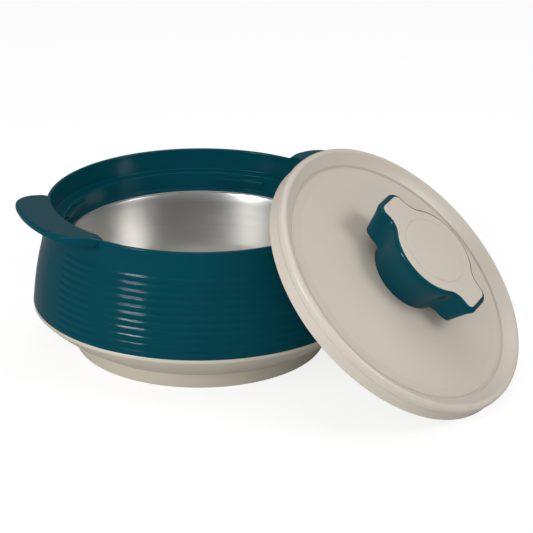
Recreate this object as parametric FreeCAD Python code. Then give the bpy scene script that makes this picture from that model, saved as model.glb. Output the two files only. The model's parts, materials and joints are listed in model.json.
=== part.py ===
# Insulated chapati casserole: a double-walled serving pot with two ears and a lift-off
# twist-lock lid, which here leans against the rim of the open pot.
# Units are millimetres. The origin is on the pot's axis at table level, and +Z is up.
import FreeCAD
import Part
import math
import os

V = FreeCAD.Vector
UP = V(0, 0, 1)
ORIGIN = V(0, 0, 0)

# Outer drum of the pot, from its bottom edge to the rim
drum_bottom_z = 35.6
drum_bottom_r = 125.0
rim_top_z = 112.5
rim_r = 113.5
rim_roll = 1.4
# How far the drum's face lies outside a straight side, at three shares of its height
drum_lower_share = 0.257
drum_lower_bulge = 0.86
drum_middle_share = 0.509
drum_middle_bulge = 0.15
drum_upper_share = 0.747
drum_upper_bulge = -0.61
wall = 2.4
wall_ease = 0.5

# Ribs that run round the front and the back of the drum
rib_count = 11
rib_first_rise = 2.4
rib_pitch = 5.33
rib_height = 0.7
rib_width = 4.2
rib_root = 0.4
rib_arc = 120.0

# Ears: two flat wings at the rim
ear_azimuth = 25.5
ear_reach = 23.5
ear_half_width = 49.5
ear_corner_r = 21.0
ear_rise_inner = 2.5
ear_rise_outer = 6.3
ear_thick_outer = 4.6
ear_root_depth = 6.5
ear_edge_round = 1.5

# Collar inside the mouth: an upper band, a ledge for the lid, a lower band and a floor
mouth_draft = 0.9
ledge_depth = 16.0
ledge_width = 9.0
collar_depth = 12.5
collar_floor_thick = 2.0
collar_lip = 2.6
collar_lug_count = 4
collar_lug_angle = 22.0
collar_lug_height = 2.0
collar_lug_reach = 2.5
collar_lug_azimuth = 71.5

# Steel bowl
bowl_lip_step = 1.4
bowl_bottom_z = 22.0
bowl_taper = 10.8
bowl_corner_r = 16.0
steel = 0.6
bowl_flange = 4.0
bowl_bend_r = 1.2
seal_thick = 0.6

# Base cover under the drum
base_lip_height = 2.6
base_crease_z = 12.5
base_crease_r = 97.6
base_cone_bulge = 1.6
crease_step = 1.2
foot_taper = 2.8
foot_wall = 3.0
base_plate_z = 5.0
base_plate_thick = 3.4
base_spigot_height = 8.0
base_spigot_wall = 2.0
fit_gap = 0.3
fill_hole_r = 9.0
plug_flange_reach = 4.0
plug_flange_thick = 1.6
plug_stem_wall = 1.5
plug_stem_length = 7.0
hole_gap = 0.15

# Lid: heights are measured from the lower edge of its side wall, insets from that wall's face
lid_gap = 1.2
lid_wall_height = 8.6
lid_bulge = 0.7
lid_bulge_h = 10.6
lid_crest_inset = 3.6
lid_crest_h = 15.8
lid_slope_inset = 11.4
lid_slope_h = 10.0
lid_groove_inset = 13.0
lid_groove_h = 9.1
dome_inset = 20.6
dome_edge_h = 9.3
dome_top_h = 17.6
lid_wall = 2.2

# Liner plug under the lid
plug_gap = 3.8
plug_depth = 8.0
plug_wall = 2.0
liner_flange_gap = 0.4
liner_flange_h = 0.4
lid_lug_angle = 18.0
lid_lug_height = 1.8
lid_lug_turn = 45.0
lid_lug_reach = 2.8
gasket_height = 2.6
gasket_thick = 1.9
gasket_lip_gap = 0.3
gasket_bead = 0.6
lid_fill_hole_r = 6.0
lid_plug_flange_reach = 3.0
lid_plug_length = 5.0

# Handle on the lid: a cone-shaped disc with two lobes. Rises are measured from the dome's top
handle_turn = 5.5
handle_root_drop = 5.6
handle_root_r = 27.0
handle_top_r = 34.6
handle_top_rise = 33.4
handle_crown_rise = 31.8
handle_crown_sphere_r = 480.0
handle_wall = 2.6
handle_floor_rise = 9.9
handle_pocket_rise = 2.9
handle_seat_gap = 0.1
handle_neck_r = 10.0
# rise, half width, length and corner radius of the lobes at four heights, from the underside up
lobe_sections = [
    (5.6, 12.6, 39.0, 5.0),
    (8.0, 14.6, 43.8, 6.0),
    (18.4, 14.6, 46.8, 7.0),
    (33.4, 14.2, 50.6, 7.0),
]
rim_step = 0.7
cap_edge = 1.6
cap_end = 1.6
cap_gap = 0.2
cap_thick = 2.4
cap_root_drop = 9.0
cap_groove_r = 25.0
cap_groove_width = 1.0
cap_groove_depth = 0.5
cap_clip_length = 9.0
cap_clip_wall = 1.4

# Screws that hold the handle down, hidden under the cap
screw_spread = 13.0
screw_r = 2.0
screw_length = 20.0
screw_head_r = 3.9
screw_head_height = 2.6
screw_slot_length = 4.2
screw_slot_width = 0.9
screw_slot_depth = 1.2
screw_tip_gap = 0.4
washer_r = 5.0
washer_thick = 0.8
boss_r = 4.6
boss_floor = 1.5

# The lid leans: its lower edge stands on the table and its plug rests on the rim of the pot
lean_tilt = 44.4
lean_azimuth = -33.0
lean_gap = 0.3

# Half size of the plain blocks that only cut other shapes
cutter = 200.0


def polar(radius, degrees, z=0.0):
    angle = math.radians(degrees)
    return V(radius * math.cos(angle), radius * math.sin(angle), z)


def at(radius, z):
    return V(radius, 0, z)


def outline(start, *steps):
    """Closed face in the XZ plane. A step is (r, z) for a line or (mid, end) for an arc."""
    edges = []
    here = at(*start)
    for step in steps:
        if isinstance(step[0], tuple):
            middle, there = at(*step[0]), at(*step[1])
            edges.append(Part.Arc(here, middle, there).toShape())
        else:
            there = at(*step)
            edges.append(Part.makeLine(here, there))
        here = there
    edges.append(Part.makeLine(here, at(*start)))
    return Part.Face(Part.Wire(edges))


def turned(face, degrees=360.0):
    return face.revolve(ORIGIN, UP, degrees)


def tube(outer_r, inner_r, low, height, centre=ORIGIN):
    base = V(centre.x, centre.y, low)
    solid = Part.makeCylinder(outer_r, height, base)
    if inner_r > 0:
        solid = solid.cut(Part.makeCylinder(inner_r, height, base))
    return solid


def sector(outer_r, inner_r, low, height, middle, span):
    """A piece of a ring that spans an angle about its middle azimuth."""
    face = outline((inner_r, low), (outer_r, low), (outer_r, low + height), (inner_r, low + height))
    piece = turned(face, span)
    piece.rotate(ORIGIN, UP, middle - span / 2.0)
    return piece


# Sizes that follow from the driving ones: the drum
roll_z = rim_top_z - rim_roll
drum_inner_bottom_r = drum_bottom_r - wall


def side_point(share, bulge):
    """Radius and height of the drum's face at a share of its height."""
    return (drum_bottom_r + share * (rim_r - drum_bottom_r) + bulge,
            drum_bottom_z + share * (roll_z - drum_bottom_z))


drum_lower_r, drum_lower_z = side_point(drum_lower_share, drum_lower_bulge)
drum_middle_r, drum_middle_z = side_point(drum_middle_share, drum_middle_bulge)
drum_upper_r, drum_upper_z = side_point(drum_upper_share, drum_upper_bulge)
rib_first_z = drum_bottom_z + rib_first_rise
ear_reach_r = rim_r + ear_reach

# The collar, bowl and base
mouth_r = rim_r - 2.0 * rim_roll
ledge_z = rim_top_z - ledge_depth
ledge_outer_r = mouth_r - mouth_draft
collar_r = ledge_outer_r - ledge_width
collar_lip_r = collar_r - collar_lip
collar_skin = wall - 0.4
collar_floor_z = ledge_z - collar_depth
collar_under_z = collar_floor_z - collar_floor_thick
seal_z = collar_under_z - seal_thick
bowl_flange_r = collar_lip_r + bowl_flange
bowl_mouth_r = collar_lip_r - bowl_lip_step
bowl_bottom_r = bowl_mouth_r - bowl_taper
foot_top_r = base_crease_r - crease_step
foot_r = foot_top_r - foot_taper
plug_flange_r = fill_hole_r + plug_flange_reach

# The lid
lid_edge_r = ledge_outer_r - lid_gap
lid_bulge_r = lid_edge_r + lid_bulge
lid_crest_r = lid_edge_r - lid_crest_inset
lid_slope_r = lid_edge_r - lid_slope_inset
lid_groove_r = lid_edge_r - lid_groove_inset
dome_r = lid_edge_r - dome_inset
dome_sphere_r = 0.5 * (dome_r ** 2 / (dome_top_h - dome_edge_h) + dome_top_h - dome_edge_h)
liner_flange_r = lid_edge_r - lid_wall - liner_flange_gap
plug_r = collar_r - plug_gap
lid_lug_r = plug_r + lid_lug_reach
gasket_lip_r = collar_r - gasket_lip_gap
lid_plug_flange_r = lid_fill_hole_r + lid_plug_flange_reach
collar_lug_z = ledge_z - plug_depth + lid_lug_height + fit_gap

# The handle
handle_root_h = dome_top_h - handle_root_drop
handle_top_h = dome_top_h + handle_top_rise
handle_crown_h = dome_top_h + handle_crown_rise
handle_floor_h = dome_top_h + handle_floor_rise
handle_pocket_h = dome_top_h + handle_pocket_rise
lobe_low_h = dome_top_h + lobe_sections[0][0]
cap_root_h = handle_crown_h - cap_root_drop
boss_low_h = handle_floor_h + washer_thick - screw_length - screw_tip_gap - boss_floor


def arc_height(chord_r, sphere_r):
    return sphere_r - math.sqrt(sphere_r ** 2 - chord_r ** 2)


def dome_arc(shift=0.0):
    """Middle and end of the dome's arc, from its edge to the lid's axis, as part of a sphere."""
    middle_r = 0.5 * dome_r
    return (middle_r, dome_top_h - arc_height(middle_r, dome_sphere_r) + shift), (0.0, dome_top_h + shift)




def drum_outer(shift=0.0):
    """Lower and upper arcs of the drum's outer face, moved inwards by a shift."""
    lower = ((drum_lower_r - shift, drum_lower_z), (drum_middle_r - shift, drum_middle_z))
    upper = ((drum_upper_r - shift, drum_upper_z), (rim_r - shift, roll_z))
    return lower, upper


def drum_radius(z):
    """Radius of the drum's outer face at a height, on the arcs that shape it."""
    start = (drum_bottom_r, drum_bottom_z)
    lower, upper = drum_outer()
    if z > drum_middle_z:
        start, (middle, end) = lower[1], upper
    else:
        middle, end = lower
    circle = Part.Circle(at(*start), at(*middle), at(*end))
    height = z - circle.Center.z
    side = 1.0 if circle.Center.x < middle[0] else -1.0
    return circle.Center.x + side * math.sqrt(circle.Radius ** 2 - height ** 2)


def drum_and_collar():
    """One section: drum wall, rolled rim, upper band, ledge, lower band and floor."""
    outer_low, outer_high = drum_outer()
    inner_low = drum_outer(wall)[0]
    rim_inner = (mouth_r, roll_z)
    rim_crown = (rim_r - rim_roll, rim_top_z)
    ledge_under = ledge_z - collar_skin
    band_back = ledge_outer_r + collar_skin
    face = outline(
        (drum_bottom_r, drum_bottom_z),
        outer_low,
        outer_high,
        (rim_crown, rim_inner),
        (ledge_outer_r, ledge_z),
        (collar_r, ledge_z),
        (collar_r, collar_floor_z),
        (collar_lip_r, collar_floor_z),
        (collar_lip_r, collar_under_z),
        (collar_r + collar_skin, collar_under_z),
        (collar_r + collar_skin, ledge_under),
        (band_back, ledge_under),
        (band_back, ledge_z + collar_skin),
        (rim_r - wall, ledge_under - 0.1),
        ((drum_upper_r - wall - wall_ease, drum_upper_z - wall), (drum_middle_r - wall, drum_middle_z)),
        (inner_low[0], (drum_inner_bottom_r, drum_bottom_z)),
    )
    return turned(face)


def rib_band():
    """Ribs as one strip with a row of rounded bumps, turned through the rib arc."""
    steps = []
    depth = 0.5 * wall
    low_z = rib_first_z - 0.5 * rib_width
    for i in range(rib_count):
        middle = rib_first_z + i * rib_pitch
        start, end = middle - rib_width / 2.0, middle + rib_width / 2.0
        steps.append((drum_radius(start) - rib_root, start))
        steps.append(((drum_radius(middle) + rib_height, middle), (drum_radius(end) - rib_root, end)))
    high_z = rib_first_z + (rib_count - 0.5) * rib_pitch
    steps.append((drum_radius(high_z) - depth, high_z))
    for i in range(rib_count - 1, 0, -1):
        gap_z = rib_first_z + (i - 0.5) * rib_pitch
        steps.append((drum_radius(gap_z) - depth, gap_z))
    face = outline((drum_radius(low_z) - depth, low_z), *steps)
    band = turned(face, rib_arc)
    band.rotate(ORIGIN, UP, -90.0 - rib_arc / 2.0)
    return band


def ear():
    """A wing that rises a little outwards, cut to its plan shape and rounded all round."""
    root_r = mouth_r
    top_inner = rim_top_z + ear_rise_inner
    top_outer = rim_top_z + ear_rise_outer
    blade = turned(outline(
        (root_r, rim_top_z - 1.0),
        (rim_r - 0.5, rim_top_z - ear_root_depth),
        (ear_reach_r + 5.0, top_outer - ear_thick_outer),
        (ear_reach_r + 5.0, top_outer),
        (root_r, top_inner),
    ))
    plan = Part.makeCylinder(ear_reach_r, 2.0 * cutter, V(0, 0, -cutter))
    plan = plan.common(Part.makeBox(2.0 * cutter, 2.0 * ear_half_width, 2.0 * cutter,
                                    V(0, -ear_half_width, -cutter)))
    corners = [e for e in plan.Edges if abs(abs(e.CenterOfMass.y) - ear_half_width) < 0.01
               and abs(e.BoundBox.XLength) < 0.01 and e.CenterOfMass.x > rim_r]
    plan = plan.makeFillet(ear_corner_r, corners)
    wing = blade.common(plan)
    edges = [e for e in wing.Edges if e.BoundBox.ZLength < 6.0 and e.BoundBox.XMax > rim_r]
    wing = wing.makeFillet(ear_edge_round, edges)
    wing.rotate(ORIGIN, UP, ear_azimuth)
    return wing


def outer_shell():
    shell = drum_and_collar()
    band = rib_band()
    back = band.copy()
    back.rotate(ORIGIN, UP, 180.0)
    right = ear()
    left = right.copy()
    left.rotate(ORIGIN, UP, 180.0)
    lugs = []
    for i in range(collar_lug_count):
        azimuth = collar_lug_azimuth + i * 360.0 / collar_lug_count
        lugs.append(sector(collar_r + 0.5 * collar_skin, collar_r - collar_lug_reach, collar_lug_z,
                           collar_lug_height, azimuth, collar_lug_angle))
    return shell.multiFuse([band, back, right, left] + lugs).removeSplitter()


def steel_bowl():
    """Deep-drawn bowl whose flange turns outwards under the collar floor."""
    top = seal_z
    bend_z = top - bowl_bend_r
    inner, outer = bowl_mouth_r, bowl_mouth_r + steel
    k = 1.0 - math.sqrt(0.5)
    floor_in, floor_out = bowl_bottom_z, bowl_bottom_z - steel
    corner, outer_corner = bowl_corner_r, bowl_corner_r + steel
    face = outline(
        (0.0, floor_in),
        (bowl_bottom_r - corner, floor_in),
        ((bowl_bottom_r - corner * k, floor_in + corner * k), (bowl_bottom_r, floor_in + corner)),
        (inner, bend_z),
        ((inner + bowl_bend_r * k, top - bowl_bend_r * k), (inner + bowl_bend_r, top)),
        (bowl_flange_r, top),
        (bowl_flange_r, top - steel),
        (outer + bowl_bend_r - steel, top - steel),
        (outer, bend_z),
        (bowl_bottom_r + steel, floor_in + corner),
        ((bowl_bottom_r + steel - outer_corner * k, floor_out + outer_corner * k),
         (bowl_bottom_r - corner, floor_out)),
        (0.0, floor_out),
    )
    return turned(face)


def bowl_seal():
    return tube(bowl_flange_r - 0.4, collar_lip_r + 0.4, seal_z, seal_thick)


def spigot_top_radius():
    """Outer radius of the base spigot's upper end, clear of the narrowing drum."""
    return drum_radius(drum_bottom_z + base_spigot_height) - wall - fit_gap - hole_gap


def cone_middle(inset=0.0):
    """Middle point of the base cone's slightly bulged outline, moved inwards by an inset."""
    run = drum_bottom_r - base_crease_r
    rise = drum_bottom_z - base_lip_height - base_crease_z
    out = (base_cone_bulge - inset) / math.hypot(run, rise)
    return (0.5 * (drum_bottom_r + base_crease_r) + rise * out,
            0.5 * (drum_bottom_z - base_lip_height + base_crease_z) - run * out)


def base_cover():
    """Beige bottom shell: bright lip, curved cone, foot ring, recessed plate and a spigot."""
    lip_top = drum_bottom_z
    lip_low = lip_top - base_lip_height
    spigot_r = drum_inner_bottom_r - fit_gap
    cone_mid_r, cone_mid_z = cone_middle()
    spigot_top = lip_top + base_spigot_height
    spigot_top_r = spigot_top_radius()
    plate_top = base_plate_z + base_plate_thick
    seat_z = base_plate_z + plug_flange_thick + hole_gap
    face = outline(
        (fill_hole_r, seat_z),
        (plug_flange_r + fit_gap, seat_z),
        (plug_flange_r + fit_gap, base_plate_z),
        (foot_r - foot_wall, base_plate_z),
        (foot_r - foot_wall, 0.0),
        (foot_r, 0.0),
        (foot_top_r, base_crease_z - 1.0),
        (base_crease_r, base_crease_z),
        ((cone_mid_r, cone_mid_z), (drum_bottom_r, lip_low)),
        (drum_bottom_r + fit_gap, lip_top - 0.6),
        (drum_bottom_r, lip_top),
        (spigot_r, lip_top),
        (spigot_top_r, spigot_top),
        (spigot_top_r - base_spigot_wall, spigot_top),
        (spigot_r - base_spigot_wall, lip_low + 0.5),
        (cone_middle(wall), (base_crease_r - 0.4 * wall, base_crease_z + wall)),
        (foot_top_r - foot_wall, base_crease_z),
        (foot_r - foot_wall, plate_top),
        (fill_hole_r, plate_top),
    )
    return turned(face)


def base_fill_plug():
    stem_r = fill_hole_r - hole_gap
    flange = tube(plug_flange_r, 0.0, base_plate_z, plug_flange_thick)
    stem = tube(stem_r, stem_r - plug_stem_wall, base_plate_z + plug_flange_thick, plug_stem_length)
    return flange.fuse(stem).removeSplitter()


def body_foam():
    """Foam that fills the space between the bowl, the collar, the drum and the base cover."""
    gap = fit_gap
    under_bowl = bowl_bottom_z - steel - gap
    skin_r = bowl_mouth_r + steel + gap
    k = 1.0 - math.sqrt(0.5)
    round_r = bowl_corner_r + steel + gap
    low = base_plate_z + base_plate_thick + gap
    spigot_in = spigot_top_radius() - base_spigot_wall - gap
    top_z = seal_z - steel - gap
    shoulder_z = ledge_z - collar_skin - gap
    collar_back = collar_r + collar_skin + gap
    spigot_top = drum_bottom_z + base_spigot_height + 1.0
    drum_gap = wall + wall_ease + gap
    middle_z = 0.5 * (spigot_top + drum_upper_z) - 1.0
    upper_z = drum_upper_z - wall
    face = outline(
        (0.0, low + plug_stem_length),
        (fill_hole_r + 1.0, low + plug_stem_length),
        (fill_hole_r + 1.0, low),
        (foot_r - foot_wall - 2.0, low),
        (foot_top_r - foot_wall - 1.0, base_crease_z + 1.6),
        (base_crease_r - wall, base_crease_z + wall + 1.2),
        (cone_middle(wall + 2.0), (spigot_in, drum_bottom_z)),
        (spigot_in, spigot_top),
        (drum_radius(spigot_top) - drum_gap, spigot_top),
        ((drum_radius(middle_z) - drum_gap, middle_z), (drum_radius(upper_z) - drum_gap - 0.3, upper_z)),
        (rim_r - drum_gap, shoulder_z),
        (collar_back, shoulder_z),
        (collar_back, top_z),
        (skin_r + bowl_bend_r, top_z),
        (skin_r, top_z - bowl_bend_r - 1.0),
        (bowl_bottom_r + steel + gap, bowl_bottom_z + bowl_corner_r),
        ((bowl_bottom_r + steel + gap - round_r * k, under_bowl + round_r * k),
         (bowl_bottom_r - bowl_corner_r, under_bowl)),
        (0.0, under_bowl),
    )
    return turned(face)


def lid_top_steps(drop=0.0, inset=0.0):
    """Outer face of the lid from the crest inwards to the axis, lowered by a drop."""
    return [
        (((lid_crest_r + lid_bulge_r) / 2.0 + 1.2 - inset, lid_crest_h - 1.0 - drop),
         (lid_crest_r, lid_crest_h - drop)),
        ((0.5 * (lid_crest_r + lid_slope_r), 0.5 * (lid_crest_h + lid_slope_h) - 0.3 - drop),
         (lid_slope_r, lid_slope_h - drop)),
        (lid_groove_r, lid_groove_h - drop),
        (dome_r, dome_edge_h - drop),
        dome_arc(-drop),
    ]


def lid_cover():
    steps = [
        (lid_edge_r - 0.3, lid_wall_height),
        (lid_bulge_r, lid_bulge_h),
        (lid_bulge_r - 0.2, lid_bulge_h + 1.6),
    ] + lid_top_steps()
    inner = lid_top_steps(lid_wall, lid_wall)
    under_middle, under_top = dome_arc(-lid_wall)
    back = [
        under_top,
        (under_middle, (dome_r, dome_edge_h - lid_wall)),
        (lid_groove_r + 0.6, lid_groove_h - lid_wall),
        (lid_slope_r + 1.6, lid_slope_h - lid_wall + 0.5),
        (inner[0][1][0] + 0.2, lid_crest_h - lid_wall),
        (lid_edge_r - lid_wall, lid_bulge_h),
        (lid_edge_r - lid_wall, 0.0),
    ]
    cover = turned(outline((lid_edge_r, 0.0), *(steps + back)))
    for side in (-1, 1):
        centre = V(0, side * screw_spread, 0)
        boss = tube(boss_r, 0.0, boss_low_h, dome_top_h - 0.5 * lid_wall - boss_low_h, centre)
        hole = tube(screw_r, 0.0, boss_low_h + boss_floor, cutter, centre)
        cover = cover.fuse(boss).cut(hole)
    return cover.removeSplitter()


def lid_liner():
    """Plug with a flange above and bayonet lugs and a bead on its wall."""
    inner_r = plug_r - plug_wall
    flange_top = liner_flange_h + plug_wall
    bead_h = liner_flange_h - gasket_height - 2.0 * fit_gap
    face = outline(
        (lid_fill_hole_r, -plug_depth),
        (plug_r, -plug_depth),
        (plug_r, bead_h - 0.5),
        (plug_r + gasket_bead, bead_h - 0.5),
        (plug_r + gasket_bead, bead_h),
        (plug_r, bead_h),
        (plug_r, liner_flange_h),
        (liner_flange_r, liner_flange_h),
        (liner_flange_r, flange_top),
        (inner_r, flange_top),
        (inner_r, plug_wall - plug_depth),
        (lid_fill_hole_r, plug_wall - plug_depth),
    )
    lugs = []
    for i in range(collar_lug_count):
        lugs.append(sector(lid_lug_r, plug_r - 0.5 * plug_wall, -plug_depth, lid_lug_height,
                           lid_lug_turn - handle_turn + i * 360.0 / collar_lug_count, lid_lug_angle))
    return turned(face).multiFuse(lugs).removeSplitter()


def lid_gasket():
    """Silicone ring round the plug: a flat collar with a lip that reaches outwards."""
    inner = plug_r + fit_gap
    top = liner_flange_h - fit_gap
    low = top - gasket_height
    return turned(outline(
        (inner, low),
        (inner + gasket_thick, low),
        (inner + gasket_thick, top - 1.2),
        (gasket_lip_r, top - 1.6),
        (gasket_lip_r, top - 0.8),
        (inner + gasket_thick, top),
        (inner, top),
    ))


def lid_foam():
    gap = fit_gap
    low = plug_wall - plug_depth + gap
    side = plug_r - plug_wall - gap
    drop = lid_wall + gap
    under = dome_edge_h - drop
    face = outline(
        (0.0, low + lid_plug_length),
        (lid_plug_flange_r + 1.0, low + lid_plug_length),
        (lid_plug_flange_r + 1.0, low),
        (side, low),
        (side, lid_groove_h - drop - 0.4),
        (dome_r, under),
        dome_arc(-drop),
    )
    foam = turned(face)
    for side_sign in (-1, 1):
        centre = V(0, side_sign * screw_spread, 0)
        foam = foam.cut(tube(boss_r + gap, 0.0, boss_low_h - gap, cutter, centre))
    return foam


def lid_fill_plug():
    stem_r = lid_fill_hole_r - hole_gap
    low = -plug_depth
    flange = tube(lid_plug_flange_r, 0.0, low + plug_wall, 1.2)
    stem = tube(stem_r, 0.0, low, plug_wall)
    return flange.fuse(stem).removeSplitter()


def disc_radius(height):
    """Radius of the handle's disc, which widens evenly upwards."""
    share = (height - handle_root_h) / (handle_top_h - handle_root_h)
    return handle_root_r + share * (handle_top_r - handle_root_r)


def lobe_section(height):
    """Half width, length and corner radius of the lobes at a height, between the given ones."""
    rise = height - dome_top_h
    for low, high in zip(lobe_sections, lobe_sections[1:]):
        if rise <= high[0]:
            t = (rise - low[0]) / (high[0] - low[0])
            return tuple(a + t * (b - a) for a, b in zip(low[1:], high[1:]))
    return lobe_sections[-1][1:]


def handle_wire(height, inset=0.0, end_inset=0.0):
    """Disc with two lobes along Y, all joined by tangent arcs, at one height."""
    half_width, length, corner = lobe_section(height)
    disc, half_width, length = disc_radius(height) - inset, half_width - inset, length - inset - end_inset
    corner, neck = corner - inset, handle_neck_r + inset
    neck_x = half_width + neck
    neck_y = math.sqrt((disc + neck) ** 2 - neck_x ** 2)
    touch = disc / (disc + neck)
    joint = (touch * neck_x, touch * neck_y)
    middle_angle = 0.5 * (math.atan2(joint[1] - neck_y, joint[0] - neck_x) - math.pi)
    neck_middle = (neck_x + neck * math.cos(middle_angle), neck_y + neck * math.sin(middle_angle))
    slope = math.sqrt(0.5)
    corner_middle = (half_width - corner + corner * slope, length - corner + corner * slope)
    edges = []
    for sx, sy in ((1, 1), (-1, 1), (-1, -1), (1, -1)):
        def point(x, y):
            return V(sx * x, sy * y, height)

        edges.append(Part.Arc(point(*joint), point(*neck_middle), point(half_width, neck_y)).toShape())
        edges.append(Part.makeLine(point(half_width, neck_y), point(half_width, length - corner)))
        edges.append(Part.Arc(point(half_width, length - corner), point(*corner_middle),
                              point(half_width - corner, length)).toShape())
    for side in (1, -1):
        def across(x, y):
            return V(side * x, side * y, height)

        edges.append(Part.Arc(across(joint[0], -joint[1]), across(disc, 0.0), across(*joint)).toShape())
        edges.append(Part.makeLine(across(half_width - corner, length), across(corner - half_width, length)))
    return Part.Wire(Part.__sortEdges__(edges))


def handle_solid(inset=0.0, low=None, end_inset=0.0):
    """The handle's outer shape above a height, moved inwards: a cone below and the lobes above."""
    low = handle_root_h if low is None else low
    first = max(low, lobe_low_h + inset)
    heights = [first] + [dome_top_h + s[0] for s in lobe_sections if dome_top_h + s[0] > first + 0.5]
    solid = Part.makeLoft([handle_wire(h, inset, end_inset) for h in heights], True, True)
    if low < first:
        stem = Part.makeCone(disc_radius(low) - inset, disc_radius(first) - inset, first - low, V(0, 0, low))
        solid = solid.fuse(stem)
    return solid


def ball(top_h, radius):
    """Sphere whose highest point lies at a height, with its seam and poles away from there."""
    solid = Part.makeSphere(radius)
    solid.rotate(ORIGIN, V(0, 1, 0), 90.0)
    solid.translate(V(0, 0, top_h - radius))
    return solid


def crown(top_h):
    """Solid below the handle's crowned top."""
    return ball(top_h, handle_crown_sphere_r)


def lid_handle():
    """Teal handle body, open on top for its cap, with a floor for the two screws."""
    top_h = handle_crown_h - rim_step
    dome = ball(dome_top_h + handle_seat_gap, dome_sphere_r + handle_seat_gap)
    body = handle_solid().common(crown(top_h)).cut(dome)
    hollow = handle_solid(handle_wall, handle_floor_h, cap_end)
    step_h = handle_crown_h - cap_thick - cap_gap
    rebate = handle_solid(cap_edge, cap_root_h, cap_end).cut(crown(step_h))
    body = body.cut(hollow.fuse(rebate))
    below = handle_solid(handle_wall).common(tube(cutter, 0.0, 0.0, handle_pocket_h))
    holes = []
    for side in (-1, 1):
        centre = V(0, side * screw_spread, 0)
        below = below.cut(tube(boss_r, 0.0, 0.0, handle_floor_h, centre))
        holes.append(tube(screw_r + hole_gap, 0.0, 0.0, handle_floor_h + 2.0, centre))
    return body.cut(below).cut(holes[0].fuse(holes[1]))


def handle_cap():
    """Beige cap with a crowned top, a fine circle and a skirt that clips into the handle."""
    step_h = handle_crown_h - cap_thick
    plate = handle_solid(cap_edge + cap_gap, cap_root_h, cap_end).common(crown(handle_crown_h))
    plate = plate.cut(crown(step_h))
    skirt_in = handle_wall + cap_gap
    skirt_low_h = step_h - cap_clip_length
    skirt = handle_solid(skirt_in, skirt_low_h, cap_end)
    skirt = skirt.cut(handle_solid(skirt_in + cap_clip_wall, skirt_low_h, cap_end))
    cap = plate.fuse(skirt.common(crown(step_h + 0.5)))
    groove = tube(cap_groove_r + cap_groove_width, cap_groove_r, 0.0, cutter)
    groove = groove.cut(crown(handle_crown_h - cap_groove_depth))
    return cap.cut(groove).removeSplitter()


def handle_screws():
    solids = []
    for side in (-1, 1):
        centre = V(0, side * screw_spread, 0)
        head_low = handle_floor_h + washer_thick
        head = tube(screw_head_r, 0.0, head_low, screw_head_height, centre)
        head = head.makeFillet(1.2, [e for e in head.Edges
                                     if abs(e.BoundBox.ZMin - head_low - screw_head_height) < 0.01
                                     and e.BoundBox.ZLength < 0.01])
        slot_z = head_low + screw_head_height - screw_slot_depth
        half_long, half_wide = 0.5 * screw_slot_length, 0.5 * screw_slot_width
        cross = [Part.makeBox(2.0 * x, 2.0 * y, screw_head_height, V(centre.x - x, centre.y - y, slot_z))
                 for x, y in ((half_long, half_wide), (half_wide, half_long))]
        shank = tube(screw_r - hole_gap, 0.0, head_low - screw_length, screw_length, centre)
        solids.append(head.fuse(shank).cut(cross[0].fuse(cross[1])))
    return Part.makeCompound(solids)


def handle_washers():
    return Part.makeCompound([
        tube(washer_r, screw_r + hole_gap, handle_floor_h, washer_thick, V(0, side * screw_spread, 0))
        for side in (-1, 1)])


def lean(shape, turn=handle_turn):
    """Move a lid piece from its own frame to where the lid leans against the pot."""
    tilt = math.radians(lean_tilt)
    centre_z = lid_edge_r * math.sin(tilt)
    reach = (roll_z - centre_z) * math.cos(tilt) + rim_roll + plug_depth + lean_gap
    centre_r = rim_r - rim_roll + reach / math.sin(tilt)
    moved = shape.copy()
    # The lid's own Y axis becomes the line that climbs the slope, before the handle's small turn
    moved.rotate(ORIGIN, UP, 90.0 + turn)
    moved.rotate(ORIGIN, V(0, 1, 0), lean_tilt)
    moved.rotate(ORIGIN, UP, lean_azimuth)
    moved.translate(polar(centre_r, lean_azimuth, centre_z))
    return moved


def main():
    os.makedirs("parts", exist_ok=True)
    pot = {
        "outer_shell": outer_shell(),
        "steel_bowl": steel_bowl(),
        "bowl_seal": bowl_seal(),
        "body_foam": body_foam(),
        "base_cover": base_cover(),
        "base_fill_plug": base_fill_plug(),
    }
    lid = {
        "lid_cover": lid_cover(),
        "lid_liner": lid_liner(),
        "lid_gasket": lid_gasket(),
        "lid_foam": lid_foam(),
        "lid_fill_plug": lid_fill_plug(),
        "lid_handle": lid_handle(),
        "handle_cap": handle_cap(),
        "handle_screws": handle_screws(),
        "handle_washers": handle_washers(),
    }
    for name, shape in lid.items():
        pot[name] = lean(shape)
    for name, shape in pot.items():
        shape.exportStep(os.path.join("parts", name + ".step"))
        print(name, len(shape.Solids), "solids", round(shape.Volume / 1000.0, 2), "cm3",
              "valid" if shape.isValid() else "INVALID")


main()
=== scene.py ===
"""Insulated chapati casserole: an open double-walled serving pot with its lid leaning on the rim."""
import json
import math

import bmesh
import bpy
from mathutils import Matrix, Vector


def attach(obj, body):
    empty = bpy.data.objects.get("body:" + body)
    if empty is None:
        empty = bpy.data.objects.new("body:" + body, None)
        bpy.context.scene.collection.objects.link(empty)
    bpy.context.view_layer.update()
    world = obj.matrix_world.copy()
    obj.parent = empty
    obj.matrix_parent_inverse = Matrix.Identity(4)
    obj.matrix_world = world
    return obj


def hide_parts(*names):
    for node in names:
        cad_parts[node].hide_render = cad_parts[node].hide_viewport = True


bl_info = {
    "name": "Insulated casserole",
    "version": (1, 0, 0),
    "blender": (4, 5, 0),
    "location": "View3D > Sidebar > Casserole",
    "description": "Dresses the casserole's frame with finished pieces, materials and a stage",
    "category": "Object",
}

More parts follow.
